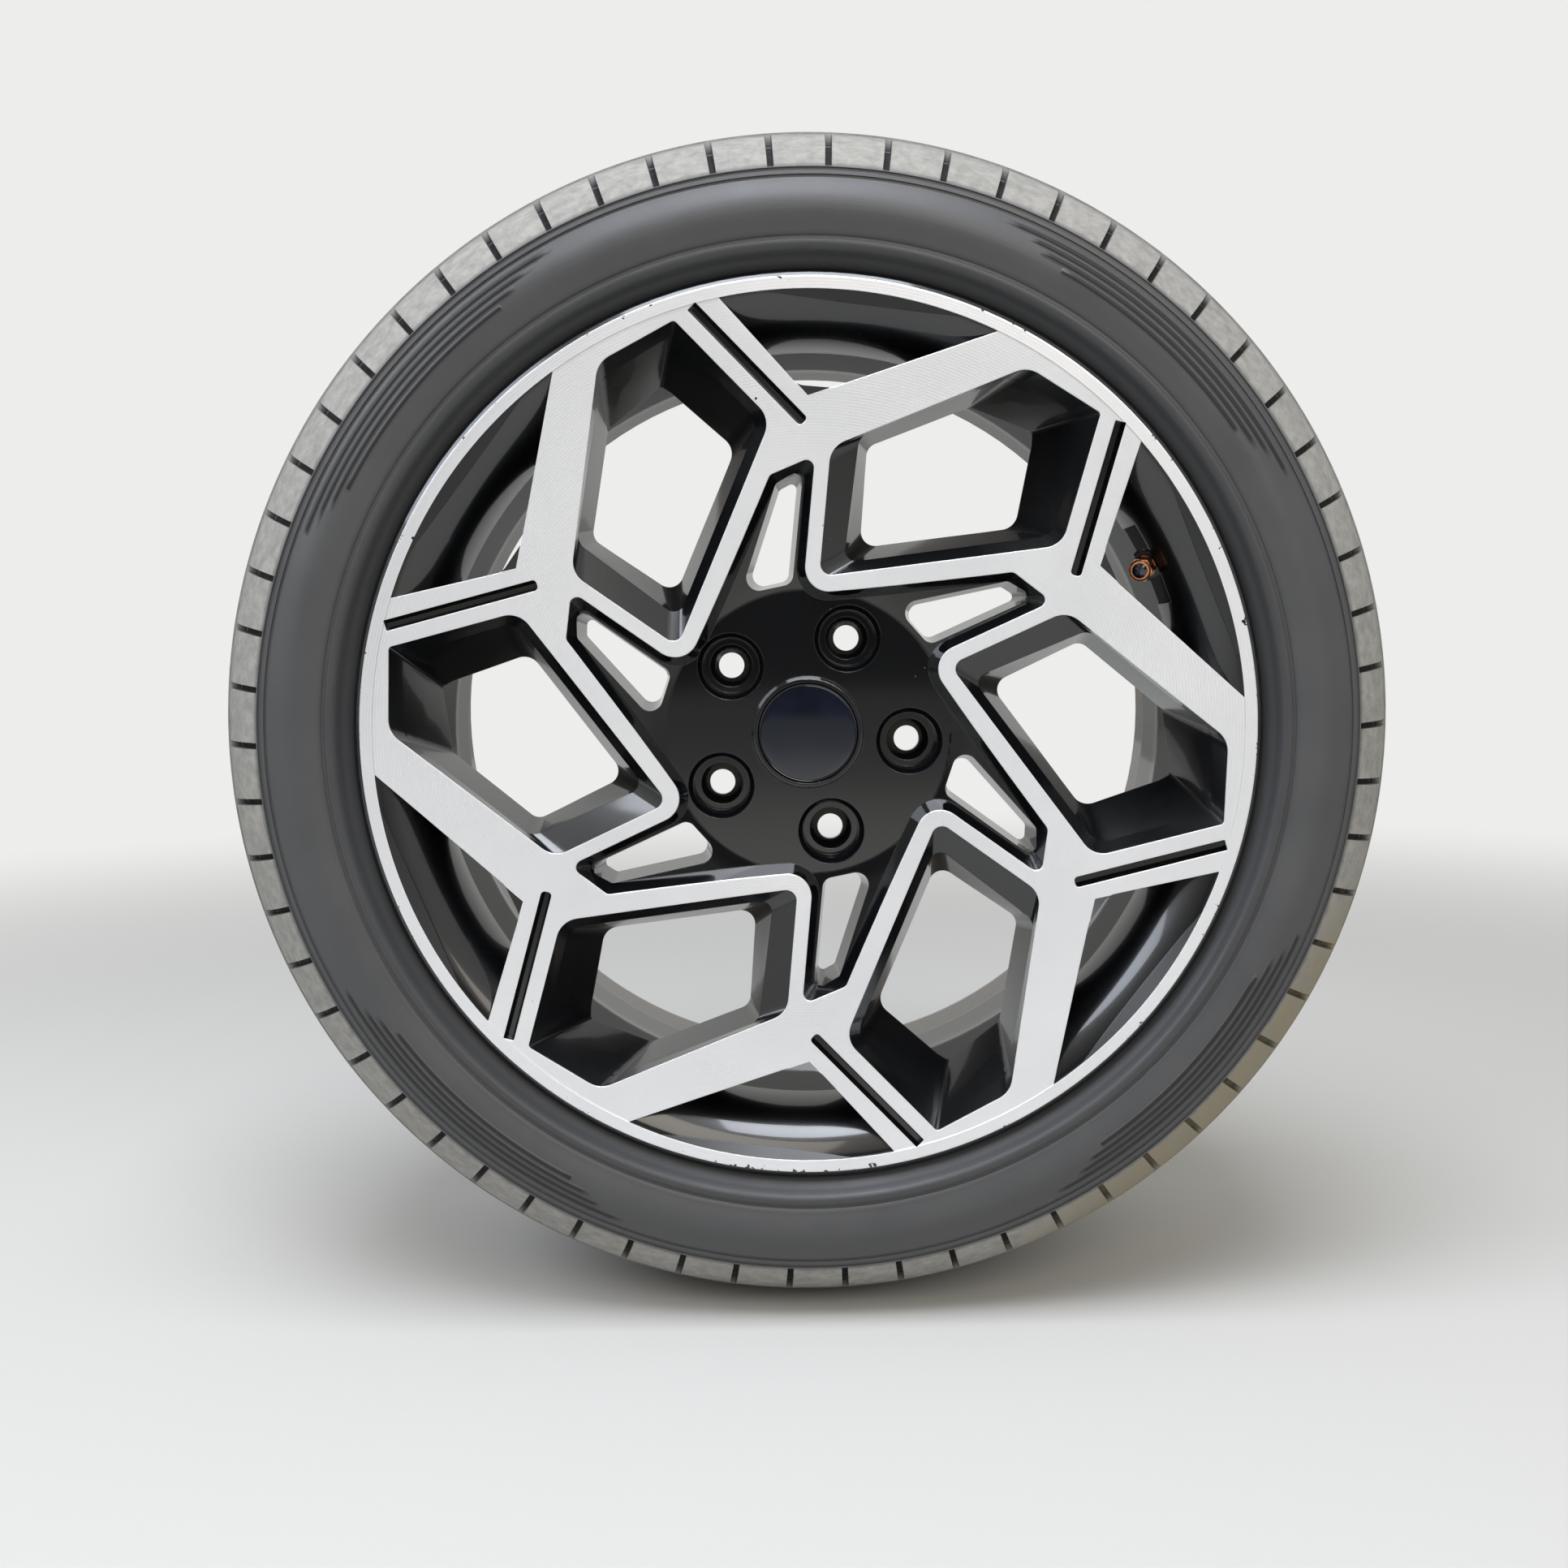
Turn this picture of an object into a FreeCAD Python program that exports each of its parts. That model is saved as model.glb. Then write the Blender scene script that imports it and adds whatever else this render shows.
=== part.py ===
import FreeCAD, Part
import math
import os

os.makedirs("parts", exist_ok=True)
V = FreeCAD.Vector

# Driving dimensions, in millimetres and degrees. The wheel spins about Y, its
# styled face looks toward -Y, Z is up and the origin is the wheel's centre.
seatDia = 462.0            # bead seat of an 18 inch rim
flangeHeight = 17.3        # J flange above the bead seat
rimWidth = 190.5           # between the flanges, 7.5 inch
flangeThick = 11.5
faceR = 244.5              # outer edge of the machined face
ringWidth = 6.4            # machined ring outside the segment openings
faceDish = 18.0            # how far the face falls from the ring to the hub
dishR = 80.0               # radius where that fall ends
floorDrop = 9.0            # black hub floor below the machined face
offset = 52.5              # mounting face outboard of the centre plane
pcd = 114.3
lugCount = 5
lugHoleDia = 14.5
lugMouthDia = 37.5
lugWellDia = 32.0
lugTurn = 66.7
hubBoreDia = 67.1
padDia = 154.0
spokeCount = 6
slotWidth = 5.9
slotDeep = 6.0
wellDrop = 20.0            # drop centre below the bead seat
wallThick = 6.5            # barrel wall in the well
barrelThick = 5.0
tyreDia = 668.6            # 235/45 R18
tyreWidth = 231.0
treadDeep = 7.0
treadThick = 12.8
blockCount = 62
notchWidth = 3.2
notchDeep = 4.5
capDia = 56.4
capHeadThick = 3.2
valveTurn = 25.5           # where the valve stands round the wheel
valveTilt = 24.0           # stem leans in from the wheel's axis
valveHoleDia = 11.5
valveWall = 6.2            # rim wall left between the two spot faces
stemDia = 8.0
stemOut = 22.0             # stem above its seat
capLong = 15.0
capFlats = 12.0
sensorLong = 40.0
sensorWide = 26.0
sensorHigh = 13.0

# Named clearances.
fit = 0.05                 # pressed or seated contact
slide = 0.12               # sliding or threaded fit

# Derived stations. Depth d is measured back from the front of the rim.
seatR = seatDia / 2
flangeR = seatR + flangeHeight
rimOver = rimWidth + 2 * flangeThick
yFront = -rimOver / 2
ringInR = faceR - ringWidth
dishSlope = faceDish / (faceR - dishR)
dishApex = dishSlope * faceR
padD = -offset - yFront
wellR = seatR - wellDrop
wellInR = wellR - wallThick
floorFlat = dishApex - dishSlope * dishR + floorDrop


def faceDepth(r):
    return dishApex - dishSlope * r


def polar(part, deg):
    a = math.radians(deg)
    return (part * faceR * math.cos(a), part * faceR * math.sin(a))


def roundedWire(points, radii, place):
    # A closed outline in a flat frame with its corners rounded, set in space by place.
    count = len(points)
    starts = []
    mids = []
    ends = []
    for i in range(count):
        px, py = points[i]
        ax, ay = points[i - 1]
        bx, by = points[(i + 1) % count]
        la = math.hypot(ax - px, ay - py)
        lb = math.hypot(bx - px, by - py)
        ux, uy = (ax - px) / la, (ay - py) / la
        wx, wy = (bx - px) / lb, (by - py) / lb
        dot = max(-1.0, min(1.0, ux * wx + uy * wy))
        half = math.acos(dot) / 2
        r = min(radii[i], 0.46 * min(la, lb) * math.tan(half))
        if radii[i] <= 0 or half > 1.565:
            starts.append((px, py))
            mids.append(None)
            ends.append((px, py))
            continue
        run = r / math.tan(half)
        sx, sy = ux + wx, uy + wy
        ls = math.hypot(sx, sy)
        reach = r / math.sin(half) - r
        starts.append((px + ux * run, py + uy * run))
        mids.append((px + sx / ls * reach, py + sy / ls * reach))
        ends.append((px + wx * run, py + wy * run))
    edges = []
    for i in range(count):
        if mids[i] is not None:
            arc = Part.Arc(place(*starts[i]), place(*mids[i]), place(*ends[i]))
            edges.append(arc.toShape())
        a = place(*ends[i])
        b = place(*starts[(i + 1) % count])
        if a.distanceToPoint(b) > 1e-6:
            edges.append(Part.makeLine(a, b))
    return Part.Wire(edges)


def turned(points, radii=None):
    # A solid of revolution about Y from (radius, y) points.
    radii = radii or [0] * len(points)
    wire = roundedWire(points, radii, lambda r, y: V(r, y, 0))
    return Part.Face(wire).revolve(V(0, 0, 0), V(0, 1, 0), 360)


def turnedZ(points):
    # A solid of revolution about Z from (radius, z) points.
    wire = Part.makePolygon([V(r, 0, z) for r, z in points + points[:1]])
    return Part.Face(wire).revolve(V(0, 0, 0), V(0, 0, 1), 360)


def hexBar(flats, z0, z1):
    r = flats / math.sqrt(3)
    pts = [V(r * math.cos(math.radians(60 * i)), r * math.sin(math.radians(60 * i)), z0)
           for i in range(7)]
    return Part.Face(Part.makePolygon(pts)).extrude(V(0, 0, z1 - z0))


def tilted(turn, lift):
    # Flat frame lying against the dished face along one radius, moved back by lift.
    c = math.cos(math.radians(turn))
    s = math.sin(math.radians(turn))

    def place(x, z):
        u = x * c + z * s
        return V(x, yFront + dishApex - dishSlope * u + lift, z)
    return place


def level(d):
    return lambda x, z: V(x, yFront + d, z)


def blend(a, b, t):
    return [(p[0] + (q[0] - p[0]) * t, p[1] + (q[1] - p[1]) * t) for p, q in zip(a, b)]


def aboutY(shape, deg):
    s = shape.copy()
    s.rotate(V(0, 0, 0), V(0, 1, 0), deg)
    return s


def ringOf(shape, count):
    return [aboutY(shape, 360.0 * i / count) for i in range(count)]


def inset(points, by):
    # Moves every side of an outline inward by the same distance.
    area = sum(p[0] * q[1] - q[0] * p[1] for p, q in zip(points, points[1:] + points[:1]))
    side = 1 if area > 0 else -1
    out = []
    for i in range(len(points)):
        p = points[i]
        a = points[i - 1]
        b = points[(i + 1) % len(points)]
        d1 = (p[0] - a[0], p[1] - a[1])
        d2 = (b[0] - p[0], b[1] - p[1])
        l1 = math.hypot(*d1)
        l2 = math.hypot(*d2)
        n1 = (-d1[1] / l1 * side, d1[0] / l1 * side)
        n2 = (-d2[1] / l2 * side, d2[0] / l2 * side)
        k = 1 + n1[0] * n2[0] + n1[1] * n2[1]
        out.append((p[0] + (n1[0] + n2[0]) / k * by, p[1] + (n1[1] + n2[1]) / k * by))
    return out


# Rim and barrel, one turned section: flange, bead seat, hump, drop centre and back.
fi = flangeThick
rearFace = rimOver
humpD = fi + 24
rimLine = [
    (ringInR, 1.5, 0), (ringInR, 0.3, 0), (faceR, 0.0, 0), (flangeR - 0.9, 1.3, 2.0),
    (flangeR, 4.0, 2.0), (flangeR, 8.6, 2.0), (flangeR - 4.5, fi, 3.0), (seatR + 0.4, fi, 6.0),
    (seatR - 1.1, humpD - 4.5, 0), (seatR - 0.4, humpD - 1.6, 1.0), (seatR - 0.7, humpD + 1, 1.0),
    (seatR - 3.0, humpD + 4.5, 3.0), (wellR, humpD + 26.5, 8.0), (wellR, humpD + 56.5, 8.0),
    (seatR - 8.5, humpD + 76.5, 6.0), (seatR - 6.0, humpD + 84.5, 4.0),
    (seatR - 6.0, rearFace - humpD - 10, 4.0), (seatR - 0.7, rearFace - humpD - 1, 1.0),
    (seatR - 0.4, rearFace - humpD + 1.6, 1.0), (seatR - 1.1, rearFace - humpD + 4.5, 0),
    (seatR + 0.4, rearFace - fi, 6.0), (flangeR - 4.5, rearFace - fi, 3.0),
    (flangeR, rearFace - 8.6, 2.0), (flangeR, rearFace - 3.2, 2.0), (flangeR - 2.0, rearFace, 1.5),
    (seatR + 6.5, rearFace, 2.0), (seatR + 5.0, rearFace - 6.5, 3.0),
    (seatR - 6.0 - barrelThick + 2.5, rearFace - 12.0, 5.0),
    (seatR - 6.0 - barrelThick, rearFace - 24.0, 6.0),
    (seatR - 6.0 - barrelThick, humpD + 88.5, 6.0), (wellInR, humpD + 66.5, 6.0),
    (wellInR, humpD + 26.5, 6.0), (wellInR + 7.5, humpD + 7.5, 0),
    (wellInR + 15.0, humpD - 5.5, 0), (wellInR + 19.0, humpD - 17.5, 20.0),
    (wellInR + 27.5, humpD - 29.5, 14.0)]
rim = turned([(r, yFront + d) for r, d, k in rimLine], [k for r, d, k in rimLine])

# Spoke disc, turned, with the dished face in front and the mounting pad behind.
coveD = humpD - 5.5
discLine = [
    (0, faceDepth(0), 0), (ringInR + 1.5, faceDepth(ringInR + 1.5), 0),
    (wellInR + 25.0, coveD - 15, 0), (wellInR + 20.0, coveD, 0), (wellInR + 12.0, coveD + 13, 0),
    (wellInR + 9.0, coveD + 15.5, 0), (wellInR - 1.0, coveD + 13.5, 6.0),
    (0.61 * faceR, coveD + 15.0, 0), (padDia / 2 + 6, padD - 3.5, 3.0),
    (padDia / 2, padD, 1.0), (0, padD, 0)]
disc = turned([(r, yFront + d) for r, d, k in discLine], [k for r, d, k in discLine])

# Segment openings between the ring and the arms; the rim's own cove shows behind them.
segF = polar(0.772, 91.2)
segG = polar(0.7672, 85.6)
segH1 = polar(0.9714, 100.9)
segH2 = polar(0.9734, 64.42)
far1 = blend([segF], [segH1], 1.18)[0]
far2 = blend([segG], [segH2], 1.13)[0]
segWire = roundedWire([far1, segF, segG, far2], [0, 9.0, 5.0, 0], level(-4))
segment = Part.Face(segWire).extrude(V(0, padD + 8, 0))
disc = disc.cut(ringOf(segment, spokeCount))
wheel = rim.fuse(disc)

# Large windows: the outline at the face, a shallow shelf on the hub side, and the
# smaller opening at the back.
winTurn = 66.0
winFace = [polar(0.9385, 58.77), polar(0.9536, 47.32), polar(0.7042, 36.2),
           polar(0.356, 85.45), polar(0.6413, 84.99)]
winBack = [polar(0.838, 62.46), polar(0.868, 51.81), polar(0.668, 44.08),
           polar(0.446, 72.9), polar(0.667, 77.5)]
shelfD = 9.0
backD = 36.0
winMid = blend(winFace, winBack, shelfD / backD)
winMid[2] = polar(0.7094, 38.4)
winMid[3] = polar(0.395, 77.62)
winMid[4] = polar(0.6758, 79.69)
winEnd = blend(winMid, winBack, (backD + 8 - shelfD) / (backD - shelfD))
windowTool = Part.makeLoft([
    roundedWire(winFace, [14, 2.5, 13, 6, 13], tilted(winTurn, -6)),
    roundedWire(winFace, [14, 2.5, 13, 6, 13], tilted(winTurn, 0.4)),
    roundedWire(winMid, [11, 2.2, 12, 6, 9], tilted(winTurn, shelfD)),
    roundedWire(winEnd, [4, 2, 10, 9, 7], tilted(winTurn, backD + 8))], True, True)

# Slots along the arms.
slotA = polar(0.9703, 44.66)
slotB = polar(0.6927, 30.27)
slotLen = math.hypot(slotA[0] - slotB[0], slotA[1] - slotB[1])
slotN = ((slotA[1] - slotB[1]) / slotLen, (slotB[0] - slotA[0]) / slotLen)


def slotOutline(w):
    h = w / 2
    return [(slotA[0] + slotN[0] * h, slotA[1] + slotN[1] * h),
            (slotA[0] - slotN[0] * h, slotA[1] - slotN[1] * h),
            (slotB[0] - slotN[0] * h, slotB[1] - slotN[1] * h),
            (slotB[0] + slotN[0] * h, slotB[1] + slotN[1] * h)]


slotTool = Part.makeLoft([
    roundedWire(slotOutline(slotWidth), [0.6, 0.6, 2.2, 2.2], tilted(38, -6)),
    roundedWire(slotOutline(slotWidth), [0.6, 0.6, 2.2, 2.2], tilted(38, 0.8)),
    roundedWire(slotOutline(slotWidth * 0.45), [0.3, 0.3, 1.0, 1.0], tilted(38, slotDeep))],
    True, True)

# Black hub floor: a star shaped recess with bevelled sides, dished like the face.
bevel = 0.5
starOne = [(0.3177, 91.5, 14.0), (0.5858, 37.87, 4.0), (0.622, 27.99, 4.0)]
starPts = []
starRad = []
starDepth = []
for k in range(spokeCount):
    for part, deg, rad in starOne:
        starPts.append(polar(part, deg - 360.0 / spokeCount * k))
        starRad.append(rad)
        starDepth.append(faceDepth(part * faceR))


def starAt(d):
    unit = inset(starPts, 1.0)
    out = []
    for p, q, dv in zip(starPts, unit, starDepth):
        t = bevel * (d - dv)
        out.append((p[0] + (q[0] - p[0]) * t, p[1] + (q[1] - p[1]) * t))
    return out


def starRadii(d):
    out = []
    for rad, dv in zip(starRad, starDepth):
        t = bevel * (d - dv)
        out.append(max(2.0, rad + t) if rad > 8 else max(1.5, rad - 0.4 * t))
    return out


starTool = Part.makeLoft([roundedWire(starAt(d), starRadii(d), level(d))
                          for d in (3.0, floorFlat + 4)], True, True)
floorRim = 0.66 * faceR
floorTool = turned([(0, yFront - 2), (floorRim, yFront - 2),
                    (floorRim, yFront + faceDepth(floorRim) + floorDrop),
                    (dishR, yFront + floorFlat), (0, yFront + floorFlat)], [0, 0, 0, 12, 0])
hubTool = starTool.common(floorTool)

# Triangular openings beside the hub.
tri = [polar(0.3485, 56.8), polar(0.569, 36.9), polar(0.598, 30.3), polar(0.338, 34.8)]
triTool = Part.makeLoft([
    roundedWire(inset(tri, -0.8), [7, 4, 4, 6], level(8)),
    roundedWire(inset(tri, 1.0), [7, 4, 4, 6], level(floorFlat)),
    roundedWire(inset(tri, 4.2), [6, 3, 3, 5], level(padD + 4))], True, True)

# Hollows in the backs of the wide arms and between the bolt holes.
armIn = polar(0.600, 36.5)
armOut = polar(0.800, 39.5)
armN = ((armOut[1] - armIn[1]), (armIn[0] - armOut[0]))
armLen = math.hypot(*armN)


def armOutline(w0, w1):
    return [(armOut[0] + armN[0] / armLen * w1, armOut[1] + armN[1] / armLen * w1),
            (armOut[0] - armN[0] / armLen * w1, armOut[1] - armN[1] / armLen * w1),
            (armIn[0] - armN[0] / armLen * w0, armIn[1] - armN[1] / armLen * w0),
            (armIn[0] + armN[0] / armLen * w0, armIn[1] + armN[1] / armLen * w0)]


armTop = coveD - 5
armTool = Part.makeLoft([
    roundedWire(inset(armOutline(7.0, 11.0), 3.0), [3, 3, 3, 3], level(armTop)),
    roundedWire(armOutline(7.0, 11.0), [5, 5, 5, 5], level(padD + 4))], True, True)
padCut = Part.makeCylinder(9.0, 14.0, V(0, -offset - 13.0, pcd / 2 + 2), V(0, 1, 0))
padCuts = [aboutY(padCut, 90 - lugTurn - 36 + 72 * i) for i in range(lugCount)]

tools = []
for one in (windowTool, slotTool, triTool, armTool):
    tools += ringOf(one, spokeCount)
tools.append(hubTool)
wheel = wheel.cut(tools)
wheel = wheel.cut(padCuts)

# Raised boss round the centre cap, its seat, the hub bore and the bolt holes.
bossFront = floorFlat - 2.2
seatD = bossFront + 0.5 + capHeadThick
boreD = seatD + 6.0
barbLong = 5.5
snapD = boreD + barbLong + 1.2   # end of the recess that the cap's barbs open into
boss = turned([(capDia / 2 - 3, yFront + bossFront), (capDia / 2 + 2.2, yFront + bossFront),
               (capDia / 2 + 4.2, yFront + floorFlat + 1), (capDia / 2 - 3, yFront + floorFlat + 1)],
              [0, 0.8, 0, 0])
wheel = wheel.fuse(boss)
hubCut = turned([(0, yFront - 1), (capDia / 2 + slide, yFront - 1),
                 (capDia / 2 + slide, yFront + seatD), (capDia / 2 - 1.6, yFront + seatD),
                 (capDia / 2 - 1.6, yFront + boreD), (capDia / 2 + 3.0, yFront + boreD),
                 (capDia / 2 + 3.0, yFront + snapD), (hubBoreDia / 2, yFront + snapD),
                 (hubBoreDia / 2, -offset - 2.0), (hubBoreDia / 2 + 1.5, -offset),
                 (hubBoreDia / 2 + 1.5, -offset + 2), (0, -offset + 2)])
lugSeat = floorFlat + 14.0
lugConeR = 12.0
lugLow = lugSeat + (lugConeR - lugHoleDia / 2) / math.tan(math.radians(30))
lugCut = turned([(0, yFront + floorFlat - 8), (lugMouthDia / 2 + 1.2, yFront + floorFlat - 8),
                 (lugMouthDia / 2, yFront + floorFlat), (lugWellDia / 2, yFront + floorFlat + 3.5),
                 (lugWellDia / 2 - 0.4, yFront + lugSeat), (lugConeR, yFront + lugSeat),
                 (lugHoleDia / 2, yFront + lugLow), (lugHoleDia / 2, -offset + 2),
                 (0, -offset + 2)])
lugCut.translate(V(pcd / 2, 0, 0))
lugCuts = [aboutY(lugCut, -lugTurn - 360.0 / lugCount * i) for i in range(lugCount)]
wheel = wheel.cut([hubCut] + lugCuts)

# Valve frame: seat point on the rim wall and the stem's direction.
va = math.radians(valveTurn)
vt = math.radians(valveTilt)
vRad = V(math.cos(va), 0, math.sin(va))
vAxis = (vRad * -math.sin(vt)) + V(0, -math.cos(vt), 0)
vSide = V(-math.sin(va), 0, math.cos(va))
vUp = vAxis.cross(vSide)
valveSeat = vRad * (wellInR + 10.0) + V(0, yFront + humpD + 9.5, 0)
valvePlace = FreeCAD.Placement(valveSeat, FreeCAD.Rotation(vSide, vUp, vAxis, "ZXY"))


def atValve(shape):
    s = shape.copy()
    s.Placement = valvePlace.multiply(s.Placement)
    return s


pocket = Part.makeCylinder(9.2, 16.0)
innerFlat = Part.makeCylinder(7.5, 16.0, V(0, 0, -valveWall - 16.0))
stemHole = Part.makeCylinder(valveHoleDia / 2, 40.0, V(0, 0, -20.0))
wheel = wheel.cut([atValve(pocket), atValve(innerFlat), atValve(stemHole)])
wheel = wheel.removeSplitter()

# Tyre: one moulded body, carcass section with ribbed sidewalls and a grooved tread.
tr = tyreDia / 2
tw = tyreWidth / 2
bh = tr - flangeR
yin = rimWidth / 2
tyreHalf = [
    (tr, 0.0, 0), (tr - 0.9, -0.35 * tw, 0), (tr - 3.0, -0.60 * tw, 0), (tr - 6.4, -0.755 * tw, 14.0),
    (tr - 14.6, -0.875 * tw, 10.0), (tr - 17.6, -0.885 * tw, 0.8), (tr - 18.6, -0.905 * tw, 0.8),
    (flangeR + 0.62 * bh, -0.965 * tw, 30.0), (flangeR + 0.42 * bh, -tw, 24.0),
    (flangeR + 0.20 * bh, -0.972 * tw, 6.0), (flangeR + 0.13 * bh, -0.975 * tw, 3.0),
    (flangeR + 0.06 * bh, -0.925 * tw, 3.0), (flangeR + 0.02 * bh, -0.885 * tw, 1.5),
    (flangeR + fit * 2, -yin - 5.5, 1.5), (flangeR + fit * 2, -yin - 2.9, 2.0),
    (flangeR - 4.5 + fit, -yin + fit, 3.0), (seatR + 0.4 + fit, -yin + fit, 6.0),
    (seatR - 0.9 + fit, -yin + 18.0, 1.0), (seatR + 4.0, -yin + 18.5, 3.0),
    (flangeR - 4.0, -yin + 9.0, 10.0), (flangeR + 0.14 * bh, -tw + 19.0, 12.0),
    (flangeR + 0.42 * bh, -tw + 9.0, 24.0), (flangeR + 0.66 * bh, -0.85 * tw, 22.0),
    (tr - treadThick - 2.2, -0.62 * tw, 30.0), (tr - treadThick, 0.0, 0)]
outer = [p for p in tyreHalf]
mirror = [(r, -y, k) for r, y, k in reversed(tyreHalf) if abs(y) > 1e-9]
tyreLine = outer + mirror
tyre = turned([(r, y) for r, y, k in tyreLine], [k for r, y, k in tyreLine])
for yc, w in ((-0.56 * tw, 8.6), (-0.22 * tw, 11.0), (0.22 * tw, 11.0), (0.56 * tw, 8.6)):
    floorR = tr - treadDeep - 0.9 * abs(yc) / (0.35 * tw)
    groove = turned([(tr + 4, yc - w / 2 - 0.8), (tr + 4, yc + w / 2 + 0.8),
                     (floorR, yc + w / 2 - 0.8), (floorR, yc - w / 2 + 0.8)])
    tyre = tyre.cut(groove)
# Lateral notches in both shoulders.
notchIn = 0.66 * tw
notchOut = 0.93 * tw
notches = []
for side in (-1, 1):
    line = [V(0, side * notchIn, tr - 3.4 - notchDeep), V(0, side * 0.80 * tw, tr - 7.5 - notchDeep),
            V(0, side * notchOut, tr - 16.5 - notchDeep), V(0, side * notchOut, tr + 3),
            V(0, side * notchIn, tr + 3)]
    one = Part.Face(Part.makePolygon(line + line[:1])).extrude(V(notchWidth, 0, 0))
    one.translate(V(-notchWidth / 2, 0, 0))
    shift = 0 if side < 0 else 180.0 / blockCount
    notches += [aboutY(one, shift + 360.0 * i / blockCount) for i in range(blockCount)]
tyre = tyre.cut(notches)

# Centre cap: head with a lip, skirt with snap barbs, a plain disc and a spring ring.
cr = capDia / 2
capF = yFront + bossFront + 0.5
capB = yFront + seatD - fit
skirtR = cr - 1.6 - slide
barbD = yFront + boreD + 0.2
cap = turned([(0, capF + 0.9), (cr - 1.4, capF + 0.9), (cr - 1.4, capF + 0.2), (cr - 0.9, capF),
              (cr, capF + 0.8), (cr, capB), (skirtR, capB), (skirtR, barbD), (skirtR + 1.5, barbD + 0.8),
              (skirtR, barbD + 4.0), (skirtR - 0.8, barbD + barbLong), (skirtR - 2.4, barbD + barbLong),
              (skirtR - 2.4, capB), (0, capB)])
slit = Part.makeBox(3.0, barbD + 8 - capB, cr + 4, V(-1.5, capB + 2.5, 0))
cap = cap.cut(ringOf(slit, 8))
badge = turned([(0, capF + 0.15), (cr - 2.2, capF + 0.25), (cr - 1.4 - fit, capF + 0.5),
                (cr - 1.4 - fit, capF + 0.9 - fit), (0, capF + 0.9 - fit)])
wireR = 0.8
spring = Part.makeTorus(skirtR - 2.4 - wireR - fit, wireR, V(0, barbD + 3.4, 0), V(0, 1, 0))

# Valve pieces, drawn along their own axis with z 0 on the seat in the rim.
hr = valveHoleDia / 2
sr = stemDia / 2
grommet = turnedZ([(sr + fit, -valveWall - 3), (7.2, -valveWall - 3), (7.2, -valveWall - fit),
                   (hr - fit, -valveWall - fit), (hr - fit, fit), (6.9, fit), (6.9, 1.5),
                   (sr + fit, 1.5)])
washer = turnedZ([(sr + slide, 1.5 + fit), (7.4, 1.5 + fit), (7.4, 2.7), (sr + slide, 2.7)])
nutZ = 2.7 + fit
nut = hexBar(12.0, nutZ + 1.6, nutZ + 6.0)
nut = nut.fuse(Part.makeCylinder(7.2, 1.6, V(0, 0, nutZ)))
nut = nut.cut(Part.makeCylinder(sr + slide, 20, V(0, 0, -2)))
headZ = -valveWall - 3 - fit
tipR = 3.85
capSeat = nutZ + 6.0 + 0.6
coreR = 2.5
stem = turnedZ([(1.7, headZ - 3.2), (7.1, headZ - 3.2), (7.1, headZ), (sr, headZ), (sr, capSeat),
                (tipR, capSeat + 0.6), (tipR, stemOut - 0.6), (tipR - 0.6, stemOut),
                (coreR + slide, stemOut), (coreR + slide, 6.0), (1.7, 6.0)])
core = turnedZ([(0.8, 6.0 + fit), (coreR, 6.0 + fit), (coreR, stemOut - 2.9), (0.8, stemOut - 2.9)])
pin = turnedZ([(0, 7.0), (0.7, 7.0), (0.7, stemOut - 0.9), (1.2, stemOut - 0.9),
               (1.2, stemOut - 0.2), (0, stemOut - 0.2)])
capZ0 = capSeat + 0.9
capZ1 = capZ0 + capLong
sealZ = stemOut + fit
capBody = hexBar(capFlats, capZ0 + 1.6, capZ1 - 1.2)
capBody = capBody.fuse(Part.makeCylinder(capFlats / 2 + 0.5, 1.6, V(0, 0, capZ0)))
capBody = capBody.fuse(turnedZ([(0, capZ1 - 1.2), (capFlats / 2, capZ1 - 1.2),
                                (capFlats / 2 - 0.9, capZ1), (0, capZ1)]))
capBody = capBody.cut(Part.makeCylinder(tipR + 0.15, sealZ + 1.4 - capZ0 + 2, V(0, 0, capZ0 - 2)))
capBody = capBody.cut(Part.makeCylinder(4.2, 4.0, V(0, 0, capZ1 - 0.8)))
insert = turnedZ([(0, capZ1 - 0.8 + fit), (4.2 - fit, capZ1 - 0.8 + fit), (4.2 - fit, capZ1 + 0.1),
                  (2.6, capZ1 + 0.8), (0, capZ1 + 1.1)])
seal = turnedZ([(2.2, sealZ), (tipR, sealZ), (tipR, sealZ + 1.4 - fit), (2.2, sealZ + 1.4 - fit)])

# Pressure sensor bolted to the stem's inner end, lying over the drop centre.
sensorZ = headZ - 3.2 - fit
screwR = 2.0
lug = Part.makeCylinder(6.6, 4.0, V(0, 0, sensorZ - 4.0))
lugShape = atValve(lug)
bodyR0 = wellR + 2.2
bodyBox = Part.makeBox(sensorHigh, sensorLong, sensorWide,
                       V(0, 0, -sensorWide / 2))
bodyBox = bodyBox.makeFillet(3.0, [e for e in bodyBox.Edges if abs(e.Vertexes[0].Y - e.Vertexes[1].Y) > 1])
lugMid = atValve(Part.Vertex(0, 0, sensorZ - 2.0)).Point
bodyBox.translate(V(bodyR0, lugMid.y - 1.0, 0))
bodyBox = aboutY(bodyBox, -valveTurn)
room = turned([(wellR + 0.8, yFront + humpD + 27), (seatR - 1.5, yFront + humpD + 8),
               (seatR + 60, yFront + humpD + 8), (seatR + 60, yFront + humpD + 100),
               (wellR + 0.8, yFront + humpD + 50)])
clear = atValve(Part.makeCylinder(7.6, 30, V(0, 0, sensorZ)))
sensor = bodyBox.common(room).fuse(lugShape).cut(clear)
screwHole = atValve(Part.makeCylinder(screwR + fit, 60, V(0, 0, sensorZ - 50)))
headRoom = atValve(Part.makeCylinder(4.6, 60, V(0, 0, sensorZ - 64.0)))
sensor = sensor.cut([screwHole, headRoom])
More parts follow.
